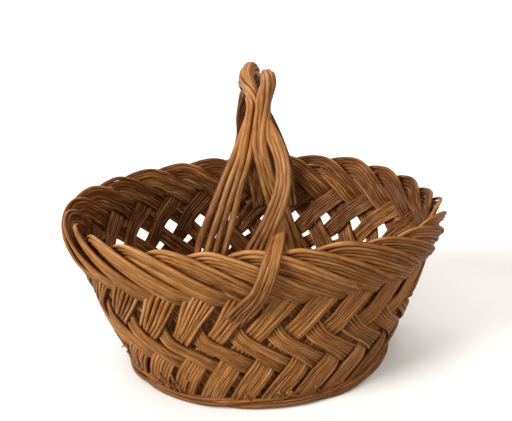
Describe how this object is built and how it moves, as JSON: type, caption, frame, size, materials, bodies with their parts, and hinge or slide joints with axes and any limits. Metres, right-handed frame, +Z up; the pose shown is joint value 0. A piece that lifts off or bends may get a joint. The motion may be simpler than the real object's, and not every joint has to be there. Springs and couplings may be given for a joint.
{
  "type": "woven market basket",
  "caption": "Oval willow basket plaited from diagonal bands of rods, with a thick rolled border, a low foot ring and a rope-twisted handle over its short side.",
  "frame": {"origin": "centre of the underside of the base, on the surface the basket stands on", "axes": "+Z up, +X along the long side of the oval, -Y towards the front; the handle arches along Y"},
  "size_m": [0.421, 0.3184, 0.333],
  "materials": {
    "band_right_willow": "aged honey-brown willow, semi-gloss",
    "band_left_willow": "aged honey-brown willow, semi-gloss",
    "foot_ring_willow": "darker aged willow, satin",
    "base_willow": "darker aged willow, satin",
    "handle_willow": "polished honey-brown willow, semi-gloss"
  },
  "bodies": {
    "root": {"wall_band_right_01": "band_right_willow", "wall_band_right_02": "band_right_willow", "wall_band_right_03": "band_right_willow", "wall_band_right_04": "band_right_willow", "wall_band_right_05": "band_right_willow", "wall_band_right_06": "band_right_willow", "wall_band_right_07": "band_right_willow", "wall_band_right_08": "band_right_willow", "wall_band_right_09": "band_right_willow", "wall_band_right_10": "band_right_willow", "wall_band_right_11": "band_right_willow", "wall_band_right_12": "band_right_willow", "wall_band_right_13": "band_right_willow", "wall_band_right_14": "band_right_willow", "wall_band_right_15": "band_right_willow", "wall_band_right_16": "band_right_willow", "wall_band_right_17": "band_right_willow", "wall_band_right_18": "band_right_willow", "wall_band_right_19": "band_right_willow", "wall_band_right_20": "band_right_willow", "wall_band_right_21": "band_right_willow", "wall_band_right_22": "band_right_willow", "wall_band_right_23": "band_right_willow", "wall_band_right_24": "band_right_willow", "wall_band_right_25": "band_right_willow", "wall_band_right_26": "band_right_willow", "wall_band_left_01": "band_left_willow", "wall_band_left_02": "band_left_willow", "wall_band_left_03": "band_left_willow", "wall_band_left_04": "band_left_willow", "wall_band_left_05": "band_left_willow", "wall_band_left_06": "band_left_willow", "wall_band_left_07": "band_left_willow", "wall_band_left_08": "band_left_willow", "wall_band_left_09": "band_left_willow", "wall_band_left_10": "band_left_willow", "wall_band_left_11": "band_left_willow", "wall_band_left_12": "band_left_willow", "wall_band_left_13": "band_left_willow", "wall_band_left_14": "band_left_willow", "wall_band_left_15": "band_left_willow", "wall_band_left_16": "band_left_willow", "wall_band_left_17": "band_left_willow", "wall_band_left_18": "band_left_willow", "wall_band_left_19": "band_left_willow", "wall_band_left_20": "band_left_willow", "wall_band_left_21": "band_left_willow", "wall_band_left_22": "band_left_willow", "wall_band_left_23": "band_left_willow", "wall_band_left_24": "band_left_willow", "wall_band_left_25": "band_left_willow", "wall_band_left_26": "band_left_willow", "foot_ring": "foot_ring_willow", "base_panel": "base_willow", "handle_bundle_left": "handle_willow", "handle_bundle_right": "handle_willow", "handle_bundle_cross": "handle_willow", "handle_bundle_outer": "handle_willow"}
  },
  "joints": []
}
